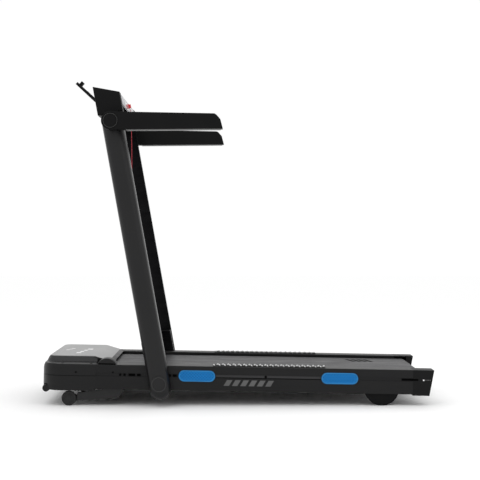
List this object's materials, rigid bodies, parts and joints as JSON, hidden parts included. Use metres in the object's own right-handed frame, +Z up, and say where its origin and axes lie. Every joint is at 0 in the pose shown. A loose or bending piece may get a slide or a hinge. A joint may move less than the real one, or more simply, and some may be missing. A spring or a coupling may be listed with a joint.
{
  "type": "folding treadmill",
  "caption": "Folding motorised treadmill with a sloping running deck, fold-down mast and console, side handles, powered incline frame and a tablet holder.",
  "frame": {"origin": "on the floor, under the middle of the treadmill's overall length and width", "axes": "+X to the rear end of the deck, +Y to the runner's right, +Z up"},
  "size_m": [1.6113, 0.894, 1.3668],
  "materials": {
    "frame_black": "satin powder coat",
    "rail_black": "satin",
    "upright_black": "semi gloss",
    "moulded_black": "fine moulded texture",
    "handle_grey": "satin",
    "gloss_black": "gloss",
    "grip_grey": "ribbed",
    "pad_blue": "satin, fine mesh pattern",
    "deck_board": "phenolic film",
    "cushion_rubber": "matt",
    "belt_black": "fine diamond texture",
    "steel": "zinc plated",
    "roller_steel": "turned",
    "motor_grey": "satin",
    "board_green": "satin",
    "lens": "dark tinted",
    "signal_red": "gloss",
    "cord_red": "braided",
    "button_grey": "satin",
    "wheel_black": "matt tread"
  },
  "bodies": {
    "base": {"base_frame": "frame_black", "side_rail_left": "rail_black", "side_rail_right": "rail_black", "rail_end_cap_left": "moulded_black", "rail_end_cap_right": "moulded_black", "rail_dome": "moulded_black", "grip_strip_left": "grip_grey", "grip_strip_right": "grip_grey", "cushion_pads_left": "pad_blue", "cushion_pads_right": "pad_blue", "deck_board": "deck_board", "deck_cushions": "cushion_rubber", "deck_bolts": "steel", "running_belt": "belt_black", "hood_top": "moulded_black", "hood_base": "moulded_black", "hood_screws": "steel", "rear_foot_left": "moulded_black", "rear_foot_right": "moulded_black", "hinge_tower_left": "gloss_black", "hinge_tower_right": "gloss_black", "drive_motor": "motor_grey", "motor_controller": "board_green", "lift_motor": "motor_grey", "power_inlet": "moulded_black", "roller_shafts": "steel", "roller_bolts": "steel", "drive_belt": "belt_black"},
    "mast": {"upright_left": "upright_black", "upright_right": "upright_black", "pivot_cover_left": "moulded_black", "pivot_cover_right": "moulded_black", "console_housing": "moulded_black", "console_panel": "gloss_black", "console_lens": "lens", "console_board": "board_green"},
    "handle_left": {"handle_left": "moulded_black", "handle_insert_left": "handle_grey", "handle_cap_left": "moulded_black"},
    "handle_right": {"handle_right": "moulded_black", "handle_insert_right": "handle_grey", "handle_cap_right": "moulded_black"},
    "tablet_holder": {"tablet_holder": "moulded_black"},
    "key": {"safety_key": "signal_red", "lanyard": "cord_red", "lanyard_clip": "signal_red"},
    "slower": {"slower_button": "button_grey"},
    "stop": {"stop_button": "signal_red"},
    "start": {"start_button": "button_grey"},
    "faster": {"faster_button": "button_grey"},
    "front_roller": {"front_roller": "roller_steel"},
    "rear_roller": {"rear_roller": "roller_steel"},
    "rotor": {"motor_rotor": "motor_grey"},
    "transport_roller_left": {"transport_roller_left": "wheel_black"},
    "transport_roller_right": {"transport_roller_right": "wheel_black"},
    "incline": {"incline_frame": "frame_black"},
    "incline_wheel_left": {"incline_wheel_left": "wheel_black"},
    "incline_wheel_right": {"incline_wheel_right": "wheel_black"},
    "lift_rod": {"lift_rod": "steel"},
    "switch": {"power_switch": "signal_red"}
  },
  "joints": [
    {"name": "mast_fold", "type": "hinge", "parent": "base", "child": "mast", "pos_m": [-0.31904, 0, 0.09697], "axis": [0, 1, 0], "range_deg": [0, 94]},
    {"name": "handle_left_fold", "type": "hinge", "parent": "mast", "child": "handle_left", "pos_m": [-0.50843, -0.416, 1.15587], "axis": [0, 1, 0], "range_deg": [0, 80]},
    {"name": "handle_right_fold", "type": "hinge", "parent": "mast", "child": "handle_right", "pos_m": [-0.50843, 0.416, 1.15587], "axis": [0, 1, 0], "range_deg": [0, 80]},
    {"name": "tablet_fold", "type": "hinge", "parent": "mast", "child": "tablet_holder", "pos_m": [-0.58603, 0, 1.25465], "axis": [0, 1, 0], "range_deg": [-120, 0]},
    {"name": "key_pull", "type": "slide", "parent": "mast", "child": "key", "axis": [0.9844, 0, 0.1761], "range_m": [0, 0.02]},
    {"name": "slower_press", "type": "slide", "parent": "mast", "child": "slower", "axis": [-0.9844, 0, -0.1761], "range_m": [0, 0.0015], "stiffness_N_per_m": 400},
    {"name": "stop_press", "type": "slide", "parent": "mast", "child": "stop", "axis": [-0.9844, 0, -0.1761], "range_m": [0, 0.0015], "stiffness_N_per_m": 400},
    {"name": "start_press", "type": "slide", "parent": "mast", "child": "start", "axis": [-0.9844, 0, -0.1761], "range_m": [0, 0.0015], "stiffness_N_per_m": 400},
    {"name": "faster_press", "type": "slide", "parent": "mast", "child": "faster", "axis": [-0.9844, 0, -0.1761], "range_m": [0, 0.0015], "stiffness_N_per_m": 400},
    {"name": "front_roller_spin", "type": "hinge", "parent": "base", "child": "front_roller", "pos_m": [-0.59761, 0, 0.13368], "axis": [0, 1, 0], "continuous": true},
    {"name": "rear_roller_spin", "type": "hinge", "parent": "base", "child": "rear_roller", "pos_m": [0.74716, 0, 0.10857], "axis": [0, 1, 0], "continuous": true},
    {"name": "rotor_spin", "type": "hinge", "parent": "base", "child": "rotor", "pos_m": [-0.69779, 0, 0.12505], "axis": [0, 1, 0], "continuous": true},
    {"name": "transport_roller_left_spin", "type": "hinge", "parent": "base", "child": "transport_roller_left", "pos_m": [-0.78901, -0.28, 0.07105], "axis": [0, 1, 0], "continuous": true},
    {"name": "transport_roller_right_spin", "type": "hinge", "parent": "base", "child": "transport_roller_right", "pos_m": [-0.78901, 0.28, 0.07105], "axis": [0, 1, 0], "continuous": true},
    {"name": "incline_lift", "type": "hinge", "parent": "base", "child": "incline", "pos_m": [-0.50503, 0, 0.06204], "axis": [0, -1, 0], "range_deg": [0, 33]},
    {"name": "incline_wheel_left_spin", "type": "hinge", "parent": "incline", "child": "incline_wheel_left", "pos_m": [-0.69396, -0.289, 0.03], "axis": [0, 1, 0], "continuous": true},
    {"name": "incline_wheel_right_spin", "type": "hinge", "parent": "incline", "child": "incline_wheel_right", "pos_m": [-0.69396, 0.289, 0.03], "axis": [0, 1, 0], "continuous": true},
    {"name": "lift_rod_slide", "type": "slide", "parent": "base", "child": "lift_rod", "axis": [-0.9998, 0, 0.0187], "range_m": [0, 0.0172]},
    {"name": "power_rocker", "type": "hinge", "parent": "base", "child": "switch", "pos_m": [-0.79929, 0.105, 0.09894], "axis": [0, 1, 0], "range_deg": [-7, 7]}
  ],
  "couplings": [
    {"joint": "handle_left_fold", "follows": "mast_fold", "ratio": 0.851},
    {"joint": "handle_right_fold", "follows": "mast_fold", "ratio": 0.851},
    {"joint": "rear_roller_spin", "follows": "front_roller_spin", "ratio": 1},
    {"joint": "rotor_spin", "follows": "front_roller_spin", "ratio": 2},
    {"joint": "lift_rod_slide", "follows": "incline_lift", "m_per_rad": 0.0288}
  ]
}
